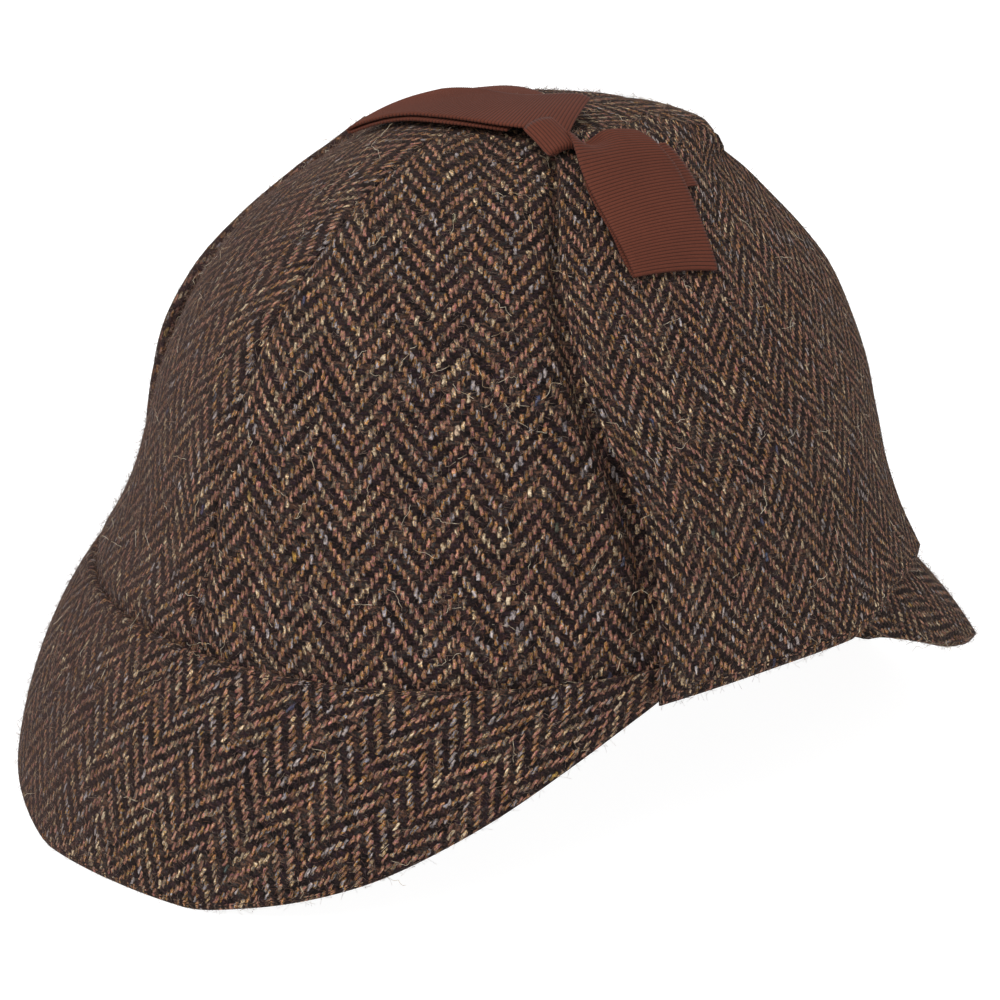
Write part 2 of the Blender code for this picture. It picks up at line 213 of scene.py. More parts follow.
def makeTweed(name):
    # woollen cloth, 2/2 herringbone of eight ends each way: rough, matt, a soft nap
    material, tree = newMaterial(name)
    place = addNode(tree, "ShaderNodeTexCoord").outputs["Object"]
    cloth = addNode(tree, "ShaderNodeUVMap", uv_map="cloth")
    strayed = cloth
    for size, mm in tweed["stray"]:
        field = addNode(tree, "ShaderNodeTexNoise",
                        {"Vector": place, "Scale": 1000 / size, "Detail": 1.0})
        move = addNode(tree, "ShaderNodeVectorMath", {0: field.outputs["Color"], 1: (0.5, 0.5, 0.5)},
                       operation="SUBTRACT")
        strayed = addNode(tree, "ShaderNodeVectorMath", {0: move, 1: (mm / 500,) * 3, 2: strayed},
                          operation="MULTIPLY_ADD")
    threads = addNode(tree, "ShaderNodeVectorMath",
                      {0: strayed, 1: (1000 / tweed["endMm"], 1000 / tweed["pickMm"], 0)},
                      operation="MULTIPLY")
    cell = addNode(tree, "ShaderNodeVectorMath", {0: threads}, operation="FLOOR")
    inside = addNode(tree, "ShaderNodeVectorMath", {0: threads}, operation="FRACTION")
    end, pick, _ = addNode(tree, "ShaderNodeSeparateXYZ", {0: cell}).outputs
    fx, fy, _ = addNode(tree, "ShaderNodeSeparateXYZ", {0: inside}).outputs

    # which way the twill steps at this end, and the phase of the crossing: it repeats
    # every four picks, and the warp is up for two of them
    both = 2.0 * tweed["stripe"]
    stripe = addNode(tree, "ShaderNodeMath", {0: end, 1: both}, operation="FLOORED_MODULO")
    turned = addNode(tree, "ShaderNodeMath", {0: stripe, 1: tweed["stripe"] - 0.5},
                     operation="GREATER_THAN")
    flip = addNode(tree, "ShaderNodeMath", {0: stripe, 1: -2.0, 2: both + 1},
                   operation="MULTIPLY_ADD")
    step = addNode(tree, "ShaderNodeMath", {0: flip, 1: turned, 2: stripe}, operation="MULTIPLY_ADD")
    count = addNode(tree, "ShaderNodeMath", {0: pick, 1: step}, operation="ADD")
    phase = addNode(tree, "ShaderNodeMath", {0: count, 1: 4.0}, operation="FLOORED_MODULO")
    warpUp = addNode(tree, "ShaderNodeMath", {0: phase, 1: 1.5}, operation="LESS_THAN")

    # how far along its float each point is: warp floats run up, weft floats across
    warpAlong = addNode(tree, "ShaderNodeMath", {0: phase, 1: fy}, operation="ADD")
    other = addNode(tree, "ShaderNodeMath", {0: phase, 1: -2.0, 2: 5.0}, operation="MULTIPLY_ADD")
    weftCell = addNode(tree, "ShaderNodeMath", {0: other, 1: turned, 2: phase}, operation="MULTIPLY_ADD")
    weftCell = addNode(tree, "ShaderNodeMath", {0: weftCell, 1: 2.0}, operation="SUBTRACT")
    weftAlong = addNode(tree, "ShaderNodeMath", {0: weftCell, 1: fx}, operation="ADD")
    along = addNode(tree, "ShaderNodeMix", {0: warpUp, 2: weftAlong, 3: warpAlong})
    across = addNode(tree, "ShaderNodeMix", {0: warpUp, 2: fy, 3: fx})

    # each float is a rounded bead: 1 on its crest, 0 where it dives
    beads = []
    for value, size, power in ((across, 2.0, 2.0), (along, 1.0, 4.0)):
        off = addNode(tree, "ShaderNodeMath", {0: value, 1: size, 2: -1.0}, operation="MULTIPLY_ADD")
        off = addNode(tree, "ShaderNodeMath", {0: off}, operation="ABSOLUTE")
        off = addNode(tree, "ShaderNodeMath", {0: off, 1: power}, operation="POWER")
        beads.append(addNode(tree, "ShaderNodeMath", {0: 1.0, 1: off}, operation="SUBTRACT",
                             use_clamp=True))
    bead = addNode(tree, "ShaderNodeMath", {0: beads[0], 1: beads[1]}, operation="MULTIPLY")
    bead = addNode(tree, "ShaderNodeMath", {0: bead, 1: 0.5}, operation="POWER")

    # one random colour for each float, drifting along its yarn
    turnId = addNode(tree, "ShaderNodeMath", {0: count, 1: phase}, operation="SUBTRACT")
    startEnd = addNode(tree, "ShaderNodeMath", {0: end, 1: weftCell}, operation="SUBTRACT")
    idX = addNode(tree, "ShaderNodeMix", {0: warpUp, 2: startEnd, 3: end})
    idY = addNode(tree, "ShaderNodeMix", {0: warpUp, 2: pick, 3: turnId})
    idVector = addNode(tree, "ShaderNodeCombineXYZ", {0: idX, 1: idY, 2: warpUp})
    chance = addNode(tree, "ShaderNodeTexWhiteNoise", {"Vector": idVector})
    chances = addNode(tree, "ShaderNodeSeparateXYZ", {0: chance.outputs["Color"]}).outputs
    # fibres lie along the yarn, so the streaks are long that way
    fine = addNode(tree, "ShaderNodeMix", {0: warpUp, 4: (1.9, 5.0, 0), 5: (5.0, 1.9, 0)},
                   data_type="VECTOR")
    fine = addNode(tree, "ShaderNodeVectorMath", {0: threads, 1: fine, 2: idVector},
                   operation="MULTIPLY_ADD")
    streak = addNode(tree, "ShaderNodeTexNoise",
                     {"Vector": fine, "Scale": tweed["streaks"], "Detail": 3.0, "Roughness": 0.6},
                     noise_dimensions="2D")
    thick = addNode(tree, "ShaderNodeSeparateXYZ", {0: streak.outputs["Color"]}).outputs[1]
    # fibre in all directions over the threads
    drift, nap, loose = [addNode(tree, "ShaderNodeTexNoise",
                                 {"Vector": place, "Scale": 1000 / mm, "Detail": detail,
                                  "Roughness": rough, "Distortion": twist})
                         for mm, detail, rough, twist in tweed["noises"]]
    loose = addNode(tree, "ShaderNodeMapRange", {"Value": loose, 1: 0.3, 2: 0.7})
    hue = -1.25
    for value, share in ((chances[0], 0.85), (drift, 1.2), (streak, 1.1), (loose, 0.35)):
        hue = addNode(tree, "ShaderNodeMath", {0: value, 1: share, 2: hue}, operation="MULTIPLY_ADD")
    ramps = []
    for wool, value in (("warp", hue), ("weft", hue), ("fleck", chances[2]), ("haze", loose)):
        ramps.append(addNode(tree, "ShaderNodeValToRGB", {0: value}))
        fillRamp(ramps[-1], tweed[wool])
    warpColour, weftColour, fleck, hazeColour = ramps
    rare = addNode(tree, "ShaderNodeMath", {0: chances[1], 1: tweed["fleckFrom"]},
                   operation="GREATER_THAN")
    rare = addNode(tree, "ShaderNodeMath", {0: rare, 1: tweed["fleckShare"]}, operation="MULTIPLY")
    light = addNode(tree, "ShaderNodeMix", {0: rare, 6: warpColour, 7: fleck}, data_type="RGBA")

    # the light floats end raggedly in the dark weft
    shown = addNode(tree, "ShaderNodeMath", {0: bead, 1: warpUp}, operation="MULTIPLY")
    for value, share in ((nap, 2.0), (thick, 0.9)):
        ragged = addNode(tree, "ShaderNodeMath", {0: value, 1: share, 2: -share / 2},
                         operation="MULTIPLY_ADD")
        shown = addNode(tree, "ShaderNodeMath", {0: shown, 1: ragged}, operation="ADD")
    low, high = tweed["ragged"]
    shown = addNode(tree, "ShaderNodeMapRange", {"Value": shown, 1: low, 2: high})
    colour = addNode(tree, "ShaderNodeMix", {0: shown, 6: weftColour, 7: light}, data_type="RGBA")

    # light and dark within the yarn, from float to float, and painted shade where the threads dive
    gain = addNode(tree, "ShaderNodeMapRange", {"Value": thick, 1: 0.36, 2: 0.66, 3: 0.4, 4: 1.55})
    # the bead's term is painted shade: each float darkens towards where it dives under the next thread
    for value, low, high in ((chances[2], 0.72, 1.28), (bead, 0.56, 1.05), (loose, 0.62, 1.38)):
        more = addNode(tree, "ShaderNodeMapRange", {"Value": value, 3: low, 4: high})
        gain = addNode(tree, "ShaderNodeMath", {0: gain, 1: more}, operation="MULTIPLY")
    gain = addNode(tree, "ShaderNodeMath", {0: gain, 1: tweed["gain"]}, operation="MULTIPLY")
    colour = addNode(tree, "ShaderNodeMix", {0: 1.0, 6: colour, 7: gain}, data_type="RGBA",
                     blend_type="MULTIPLY")
    # the nap lays a thin haze of loose fibre over the threads; the extra haze towards the wearer's right
    # is a painted sheen where the cloth is seen edge-on
    east = addNode(tree, "ShaderNodeSeparateXYZ", {0: place})
    near, far, share = tweed["paintedSheen"]
    paintedSheen = addNode(tree, "ShaderNodeMapRange", {"Value": east, 1: near, 2: far, 4: share})
    haze = addNode(tree, "ShaderNodeMapRange",
                   {"Value": nap, 1: 0.44, 2: 0.72, 4: tweed["hazeShare"]})
    haze = addNode(tree, "ShaderNodeMath", {0: haze, 1: paintedSheen}, operation="ADD", use_clamp=True)
    colour = addNode(tree, "ShaderNodeMix", {0: haze, 6: colour, 7: hazeColour}, data_type="RGBA")

    height = addNode(tree, "ShaderNodeMapRange", {"Value": shown, 3: 0.62, 4: 1.0})
    height = addNode(tree, "ShaderNodeMath", {0: height, 1: bead}, operation="MULTIPLY")
    for value, share in ((thick, 0.3), (nap, 0.9)):
        height = addNode(tree, "ShaderNodeMath", {0: value, 1: share, 2: height},
                         operation="MULTIPLY_ADD")
    bump = addNode(tree, "ShaderNodeBump", {"Height": height, "Strength": 1.0,
                                           "Distance": tweed["reliefMm"] / 1000})
    shader = addNode(tree, "ShaderNodeBsdfPrincipled",
                     {"Base Color": colour, "Roughness": 0.95, "Specular IOR Level": 0.1,
                      "Sheen Weight": 0.07, "Sheen Roughness": 0.5,
                      "Sheen Tint": toLinear(tweed["sheen"]), "Normal": bump})
    addNode(tree, "ShaderNodeOutputMaterial", {"Surface": shader})
    return material


grosgrain = {
    "colour": "572c1f",
    # painted shade for the grooves between the ribs
    "deep": "1e0d09",
    "ribMm": 0.77,         # one rib to the next along the ribbon
    "threadMm": 0.42,      # fine warp threads over the ribs
    "grainMm": 0.5,
    "cloudMm": 14.0,
    "reliefMm": 0.07,
}


def makeGrosgrain(name):
    # ribbed ribbon of rayon and cotton: a low satin light on each rib
    material, tree = newMaterial(name)
    place = addNode(tree, "ShaderNodeTexCoord").outputs["Object"]
    cloth = addNode(tree, "ShaderNodeUVMap", uv_map="cloth")
    across, along, _ = addNode(tree, "ShaderNodeSeparateXYZ", {0: cloth}).outputs
    waves = []
    for socket, mm in ((along, grosgrain["ribMm"]), (across, grosgrain["threadMm"])):
        angle = addNode(tree, "ShaderNodeMath", {0: socket, 1: math.pi * 1000 / mm},
                        operation="MULTIPLY")
        wave = addNode(tree, "ShaderNodeMath", {0: angle}, operation="SINE")
        waves.append(addNode(tree, "ShaderNodeMath", {0: wave}, operation="ABSOLUTE"))
    grain, cloud = [addNode(tree, "ShaderNodeTexNoise",
                            {"Vector": place, "Scale": 1000 / grosgrain[size], "Detail": detail})
                    for size, detail in (("grainMm", 3.0), ("cloudMm", 2.0))]
    # painted shade: the grooves between the ribs take the deep colour, the rib crests the ribbon's own
    ribShadeMix = addNode(tree, "ShaderNodeMapRange", {"Value": waves[0], 1: 0.0, 2: 0.52})
    # grain and cloud vary the yarn's own tone; the fine threads' term is painted shade between the
    # threads
    tone = 0.5
    for value, share in ((grain, 0.5), (cloud, 0.3), (waves[1], 0.12)):
        tone = addNode(tree, "ShaderNodeMath", {0: value, 1: share, 2: tone}, operation="MULTIPLY_ADD")
    colour = addNode(tree, "ShaderNodeMix", {0: ribShadeMix, 6: toLinear(grosgrain["deep"]),
                                            7: toLinear(grosgrain["colour"])}, data_type="RGBA")
    colour = addNode(tree, "ShaderNodeMix", {0: 1.0, 6: colour, 7: tone}, data_type="RGBA",
                     blend_type="MULTIPLY")
    height = addNode(tree, "ShaderNodeMath", {0: waves[1], 1: 0.35, 2: waves[0]},
                     operation="MULTIPLY_ADD")
    height = addNode(tree, "ShaderNodeMath", {0: grain, 1: 0.4, 2: height}, operation="MULTIPLY_ADD")
    bump = addNode(tree, "ShaderNodeBump", {"Height": height, "Strength": 0.6,
                                           "Distance": grosgrain["reliefMm"] / 1000})
    shader = addNode(tree, "ShaderNodeBsdfPrincipled",
                     {"Base Color": colour, "Roughness": 0.8, "Specular IOR Level": 0.16,
                      "Sheen Weight": 0.05, "Sheen Roughness": 0.4, "Normal": bump})
    addNode(tree, "ShaderNodeOutputMaterial", {"Surface": shader})
    return material


lining = {
    "dark": "1d1512",
    "light": "3a2b25",
    "cloudMm": 18.0,
    "weaveMm": 0.6,
    "reliefMm": 0.1,
}


def makeLining(name):
    # plain woven acetate: smooth, dark, a soft gloss
    material, tree = newMaterial(name)
    place = addNode(tree, "ShaderNodeTexCoord").outputs["Object"]
    cloud, weave = [addNode(tree, "ShaderNodeTexNoise",
                            {"Vector": place, "Scale": 1000 / lining[size], "Detail": detail})
                    for size, detail in (("cloudMm", 3.0), ("weaveMm", 2.0))]
    colour = addNode(tree, "ShaderNodeMix", {0: cloud, 6: toLinear(lining["dark"]),
                                            7: toLinear(lining["light"])}, data_type="RGBA")
    bump = addNode(tree, "ShaderNodeBump", {"Height": weave, "Strength": 0.3,
                                           "Distance": lining["reliefMm"] / 1000})
    shader = addNode(tree, "ShaderNodeBsdfPrincipled",
                     {"Base Color": colour, "Roughness": 0.45, "Normal": bump})
    addNode(tree, "ShaderNodeOutputMaterial", {"Surface": shader})
    return material


materials = {
    "tweed": makeTweed("tweed_herringbone"),
    "lining": makeLining("acetate_lining"),
    "ribbon": makeGrosgrain("grosgrain_ribbon"),
}
print("materials made")


# shapes that the pieces share
def lookUp(rows, place, column):
    # smooth value of a column, never past its neighbours
    if place <= rows[0][0]:
        return rows[0][column]
    if place >= rows[-1][0]:
        return rows[-1][column]
    k = 0
    while rows[k + 1][0] < place:
        k += 1
    x0, x1 = rows[k][0], rows[k + 1][0]
    y0, y1 = rows[k][column], rows[k + 1][column]
    slope = (y1 - y0) / (x1 - x0)
    tangents = []
    for i, j in ((k - 1, k), (k + 1, k + 2)):
        if i < 0 or j >= len(rows):
            tangents.append(slope)
            continue
        side = (rows[j][column] - rows[i][column]) / (rows[j][0] - rows[i][0])
        tangents.append(0.0 if side * slope <= 0 else 2 * side * slope / (side + slope))
    h = x1 - x0
    t = (place - x0) / h
    return ((2 * t**3 - 3 * t**2 + 1) * y0 + (t**3 - 2 * t**2 + t) * h * tangents[0]
            + (3 * t**2 - 2 * t**3) * y1 + (t**3 - t**2) * h * tangents[1])


def evenSteps(low, high, count):
    return [low + (high - low) * k / (count - 1) for k in range(count)]


def baseReach(turn):
    s = abs(math.sin(turn)) / crown["wide"]
    c = abs(math.cos(turn)) / (crown["front"] if math.cos(turn) > 0 else crown["back"])
    return (s**crown["square"] + c**crown["square"]) ** (-1 / crown["square"])


def baseDip(turn):
    # how far the lower edge lies under its height over the ears
    return (crown["dipFront"] if math.cos(turn) > 0 else crown["dipBack"]) * math.cos(turn) ** 2


def heightAt(turn, rise):
    return baseZ + rise * crown["rise"] - baseDip(turn) * (1 - rise) ** 2


def reachAt(turn, rise):
    across = math.sqrt(math.sin(2 * turn) ** 2 + crown["seamSoft"])
    bulge = 1 - crown["goreFlat"] * min(1.0, max(0.0, rise * 3)) * (across - 0.5)
    for dentTurn, dentRise, turnWide, riseWide, share in crown["dents"]:
        off = (math.degrees(turn) - dentTurn + 180) % 360 - 180
        bulge += share * math.exp(-(off / turnWide) ** 2 - ((rise - dentRise) / riseWide) ** 2)
    return baseReach(turn) * lookUp(crown["profile"], rise, 1) * bulge


def crownPoint(turn, rise, out=0.0):
    # a point on the crown's outside, moved out square to its slope
    step = 0.004
    low, high = max(crown["profile"][0][0], rise - step), min(1.0, rise + step)
    dr = reachAt(turn, high) - reachAt(turn, low)
    dz = heightAt(turn, high) - heightAt(turn, low)
    size = math.hypot(dr, dz)
    often, up = crown["waves"]
    soft = Vector((math.sin(turn) * often, math.cos(turn) * often, rise * up))
    out = out + crown["wave"] * noise.noise(soft) * min(1.0, (1 - rise) * 8)
    reach = reachAt(turn, rise) + out * dz / size
    return Vector((reach * math.sin(turn),
                   middleY - reach * math.cos(turn) + crown["lean"] * max(0.0, rise)**1.5,
                   heightAt(turn, rise) - out * dr / size))


def lengthsAlong(points):
    gone = [0.0]
    for last, point in zip(points, points[1:]):
        gone.append(gone[-1] + (point - last).length)
    return gone


def findStep(gone, want):
    # which step of a growing list a length falls in, and how far along it
    k = min(len(gone) - 2, max(0, bisect.bisect_left(gone, want) - 1))
    return k, min(1.0, (want - gone[k]) / max(1e-9, gone[k + 1] - gone[k]))


def evenRises(turn, low, high, count):
    # rises that lie evenly along the crown's side
    fine = evenSteps(low, high, 500)
    gone = lengthsAlong([crownPoint(turn, rise) for rise in fine])
    rises = []
    for want in evenSteps(0, gone[-1], count):
        k, share = findStep(gone, want)
        rises.append(fine[k] + (fine[k + 1] - fine[k]) * share)
    return rises


def layCloth(u, v, cut):
    # turns and shifts a piece's flat form to where it was cut from the cloth
    turn = math.radians(cut.get("turnDeg", 0.0))
    return (u * math.cos(turn) - v * math.sin(turn) + cut["ends"] * tweed["endMm"] / 1000,
            u * math.sin(turn) + v * math.cos(turn) + cut["picks"] * tweed["pickMm"] / 1000)


def lengthsFrom(row, column):
    # lengths along a row from one of its points, negative before it
    return [-u for u in lengthsAlong(row[column::-1])[:0:-1]] + lengthsAlong(row[column:])


def flatCloth(grid, column, cut):
    # lays a grid out flat: lengths along its rows from one column, and along that column
    fan = cut.get("fan", 0.0)
    return [[layCloth(u + fan * u * v, v, cut) for u in lengthsFrom(row, column)]
            for row, v in zip(grid, lengthsAlong([row[column] for row in grid]))]


def addShell(name, top, bottom, flat, rim, slots, floor=None, arcs=5):
    # a closed shell of cloth between two grids, its edge rounded over by the rim
    rows, cols = len(top), len(top[0])
    border = [(0, j) for j in range(cols)] + [(i, cols - 1) for i in range(1, rows)]
    border += [(rows - 1, j) for j in range(cols - 2, -1, -1)] + [(i, 0) for i in range(rows - 2, 0, -1)]
    points = [p.copy() for grid in (top, bottom) for row in grid for p in row]
    half = rows * cols
    frames = []
    for i, j in border:
        here, under = top[i][j], bottom[i][j]
        outward, flatOut, room = Vector(), Vector((0, 0)), 1.0
        for ni, nj, edge in ((i, j + 1, j == 0), (i, j - 1, j == cols - 1),
                             (i + 1, j, i == 0), (i - 1, j, i == rows - 1)):
            if not edge:
                continue
            away = here - top[ni][nj]
            outward += away.normalized()
            flatOut += (Vector(flat[i][j]) - Vector(flat[ni][nj])).normalized()
            room = min(room, away.length)
        normal = (here - under).normalized()
        outward = (outward - normal * outward.dot(normal)).normalized()
        frames.append(((here + under) / 2, normal, outward, (here - under).length / 2,
                       min(rim, room * 0.7), Vector(flat[i][j]), flatOut.normalized()))
    # the rings of points go round the edge from the outside to the lining
    rings = [[i * cols + j for i, j in border]]
    ringFlats = []
    for step in range(arcs + 1):
        angle = math.pi * step / arcs
        ringFlats.append([tuple(uv + flatOut * (angle * (halfThick + inset) / 2 - inset))
                          for _, _, _, halfThick, inset, uv, flatOut in frames])
        if 0 < step < arcs:
            rings.append(range(len(points), len(points) + len(border)))
            points += [middle + normal * halfThick * math.cos(angle)
                       + outward * inset * (math.sin(angle) - 1)
                       for middle, normal, outward, halfThick, inset, _, _ in frames]
    rings.append([half + i * cols + j for i, j in border])
    for ring in (rings[0], rings[-1]):
        for index, (_, _, outward, _, inset, _, _) in zip(ring, frames):
            points[index] -= outward * inset

    faces, faceFlats, faceSlots = [], [], []
    for i in range(rows - 1):
        for j in range(cols - 1):
            square = [(i, j), (i, j + 1), (i + 1, j + 1), (i + 1, j)]
            for slotIndex, start in enumerate((0, half)):
                faces.append([start + a * cols + b for a, b in square])
                faceFlats.append([flat[a][b] for a, b in square])
                faceSlots.append(slotIndex)
                square.reverse()
    for k in range(arcs):
        for n in range(len(border)):
            corners = [(k, (n + 1) % len(border)), (k, n), (k + 1, n), (k + 1, (n + 1) % len(border))]
            faces.append([rings[a][b] for a, b in corners])
            faceFlats.append([ringFlats[a][b] for a, b in corners])
            faceSlots.append(0)
    if floor is not None:
        for p in points:
            p.z = max(p.z, floor)
    mesh = bpy.data.meshes.new(name)
    mesh.from_pydata([tuple(p) for p in points], [], faces)
    layer = mesh.uv_layers.new(name="cloth")
    for polygon, uvs, slotIndex in zip(mesh.polygons, faceFlats, faceSlots):
        polygon.material_index = slotIndex
        polygon.use_smooth = True
        for loop, uv in zip(polygon.loop_indices, uvs):
            layer.data[loop].uv = uv
    for slotName in slots:
        mesh.materials.append(materials[slotName])
    mesh.update()
    volume = sum(mesh.vertices[p.vertices[0]].co.dot(p.normal) * p.area for p in mesh.polygons)
    if volume < 0:
        mesh.flip_normals()
    return addObject(name, mesh)


flap = {
    "thick": 0.0032,
    "clear": 0.0007,       # from the crown's outside
    "drop": 0.0061,        # hangs this far below the crown's lower edge
    "dropEnds": (103.0, 119.0),    # degrees from the front over which that fades
    "corner": 0.0015,      # its front corner hangs a little more
    "lifted": (0.12, 0.79),    # where the front edge's swell begins and ends
    "rearLift": 0.0004,    # the near one's top rear corner stands off
    "rearFrom": 0.86,      # from this share of its height
    "columns": 53,
    "rows": 66,
    "rim": 0.0024,
    "flat": (0.118, 0.140),
    "left": {
        "side": 1,
        "lift": 0.0062,    # its front edge stands off
        "rows": [          # rise, front edge, rear edge, in degrees from the front
            (0.00, 65.4, 138.0), (0.17, 66.1, 139.5), (0.30, 64.6, 139.8), (0.41, 61.6, 139.3),
            (0.50, 58.3, 139.0), (0.61, 55.5, 138.5), (0.75, 53.6, 137.5), (0.86, 55.0, 136.0),
            (0.93, 57.0, 130.0), (0.972, 59.0, 117.0),
        ],
        "area": 0.0131,
        "cut": {"ends": 0.0, "picks": 0.0, "fan": 3.0},
    },
    "right": {
        "side": -1,
        "lift": 0.0022,
        "rows": [
            (0.00, 65.5, 138.0), (0.12, 62.0, 139.8), (0.24, 56.5, 139.5), (0.40, 54.5, 139.0),
            (0.54, 58.0, 138.5), (0.64, 70.0, 138.0), (0.74, 81.0, 136.0), (0.86, 86.0, 131.0),
        ],
        "area": 0.0109,
        "cut": {"ends": 5.0, "picks": 1.0, "fan": 3.0},
    },
}

panel = {
    "columns": 91,
    "rows": 74,
    "rim": 0.0007,
    "pinch": 0.0007,       # the cloth dips to its seam
    "pinchWide": 0.0026,
    "low": -0.014,         # goes in behind the peaks, where it is sewn to them
    "high": 0.99993,       # the four tips all but meet at the top
    "hem": 0.0017,         # and turns in to that seam
    "hemWide": 0.022,
    "creaseDeep": 0.0047,  # beside the near flap's front edge
    "creaseOffDeg": 0.6,
    "creaseWideDeg": 2.4,
    "creaseRises": (0.01, 0.95),
    "flat": (0.152, 0.160),
    "area": 0.0147,
    "pieces": {            # where each starts in degrees, and how it lay on the cloth
        "crown_panel_front_left": {"start": 0, "ends": 9.6, "picks": 0.0},
        "crown_panel_back_left": {"start": 90, "ends": 9.0, "picks": 2.0},
        "crown_panel_back_right": {"start": 180, "ends": 1.0, "picks": 1.0},
        "crown_panel_front_right": {"start": 270, "ends": 12.0, "picks": 3.0},
    },
}


def makePanel(node, piece):
    start = piece["start"]
    turns = evenSteps(math.radians(start), math.radians(start + 90), panel["columns"])
    rises = evenRises(math.radians(start + 45), panel["low"], panel["high"], panel["rows"])
    low, high = panel["creaseRises"]

    def grid(out):
        rows = []
        for rise in rises:
            row = []
            for turn in turns:
                reach = reachAt(turn, rise)
                off = min(turn - turns[0], turns[-1] - turn) * reach / panel["pinchWide"]
                dip = panel["pinch"] * math.exp(-off * off) * min(1.0, (1 - rise) * 20)
                dip += panel["hem"] * math.exp(-(max(0.0, rise) / panel["hemWide"]) ** 2)
                beside = math.degrees(turn) - lookUp(flap["left"]["rows"], rise, 1)
                beside = (beside - panel["creaseOffDeg"]) / panel["creaseWideDeg"]
                fade = math.sin(math.pi * min(1.0, max(0.0, (rise - low) / (high - low)))) ** 0.5
                dip += panel["creaseDeep"] * fade * math.exp(-beside ** 2)
                row.append(crownPoint(turn, rise, out - dip))
            rows.append(row)
        return rows
    top, bottom = grid(0.0), grid(-crown["thick"])
    flat = flatCloth(top, panel["columns"] // 2, piece)
    obj = addShell(node.replace("crown_panel", "panel"), top, bottom, flat, panel["rim"],
                   ["tweed", "lining"])
    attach(obj, "root")
    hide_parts(node)
    return obj


panels = [makePanel(node, piece) for node, piece in panel["pieces"].items()]
print("crown made:", len(panels), "panels")

peak = {
    "thick": 0.0032,
    "gap": 0.0003,         # under the crown's lower edge
    "spread": 0.14,        # its sides open outward
    "columns": 121,
    "rows": 30,
    "rim": 0.0014,
    "flat": (0.230, 0.100),
    "front": {
        "endDeg": 71.0, "side": 1,
        "bow": 0.070,      # its face bulges
        "rows": [          # place, length, slope
            (0.00, 1.000, 65.0), (0.16, 1.000, 65.0), (0.28, 0.948, 65.0), (0.47, 0.810, 65.0),
            (0.65, 0.590, 65.5), (0.79, 0.390, 66.0), (0.89, 0.245, 68.0), (0.95, 0.160, 73.0),
            (1.00, 0.090, 78.0),
        ],
        "area": 0.0097,
        "cut": {"ends": 0.0, "picks": 0.0, "turnDeg": 10.0},
    },
    "back": {
        "endDeg": 68.5, "side": -1,
        "bow": 0.030,
        "rows": [
            (0.00, 1.000, 60.0), (0.05, 1.000, 60.0), (0.12, 0.950, 58.5), (0.23, 0.900, 56.7),
            (0.35, 0.845, 55.0), (0.47, 0.765, 51.2), (0.53, 0.722, 48.2), (0.58, 0.675, 47.2),
            (0.64, 0.622, 47.8), (0.70, 0.568, 49.6), (0.76, 0.488, 53.2), (0.88, 0.332, 58.5),
            (0.94, 0.245, 64.8), (1.00, 0.090, 71.2),
        ],
        "area": 0.0083,
        "cut": {"ends": 3.0, "picks": 2.0},
    },
}


def peakPoint(turn, share, kind, length):
    rows, side = kind["rows"], kind["side"]
    place = min(1.0, abs(turn) / math.radians(kind["endDeg"]))
    slope = math.radians(lookUp(rows, place, 2))
    here = length * lookUp(rows, place, 1)
    run = here * share
    around = turn if side > 0 else math.pi - turn
    reach = baseReach(around)
    x, y = reach * math.sin(turn), reach * math.cos(turn)
    spread = peak["spread"] * x / crown["wide"] * (1 - place**4)
    bow = 4 * share * (1 - share) * kind["bow"] * here
    ahead = y + run * math.cos(slope) + bow * math.cos(turn) * math.sin(slope)
    root = baseZ - baseDip(around) - peak["gap"]
    return Vector((x + run * spread + bow * math.sin(turn) * math.sin(slope), middleY - side * ahead,
                   root - run * math.sin(slope) + bow * math.cos(slope)))


def makePeak(node, kind):
    root = baseZ - baseDip(0 if kind["side"] > 0 else math.pi) - peak["gap"]
    length = root / math.sin(math.radians(kind["rows"][0][2]))
    turns = evenSteps(-math.radians(kind["endDeg"]), math.radians(kind["endDeg"]), peak["columns"])
    top, bottom = [], []
    for share in evenSteps(0, 1, peak["rows"]):
        topRow, bottomRow = [], []
        for turn in turns:
            p = peakPoint(turn, share, kind, length)
            right = peakPoint(turn + 0.01, share, kind, length)
            left = peakPoint(turn - 0.01, share, kind, length)
            below = peakPoint(turn, share + 0.02, kind, length)
            normal = (right - left).cross(below - p).normalized()
            if normal.dot(Vector((p.x, p.y - middleY, 0))) < 0:
                normal = -normal
            topRow.append(p)
            bottomRow.append(p - normal * peak["thick"])
        top.append(topRow)
        bottom.append(bottomRow)
    # the peak is part of a cone, which unrolls about a far-off point
    radius = crown["front"] / math.cos(math.radians(kind["rows"][0][2]))
    around = lengthsFrom(top[0], peak["columns"] // 2)
    flat = []
    for row in top:
        flatRow = []
        for point, sewn, gone in zip(row, top[0], around):
            far = radius + (point - sewn).length
            flatRow.append(layCloth(far * math.sin(gone / radius),
                                    radius - far * math.cos(gone / radius), kind["cut"]))
        flat.append(flatRow)
    obj = addShell(node + "_cloth", top, bottom, flat, peak["rim"], ["tweed", "tweed"], floor=0.0)
    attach(obj, "root")
    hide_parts(node)
    return obj


peaks = [makePeak("front_peak", peak["front"]), makePeak("back_peak", peak["back"])]
print("peaks made")


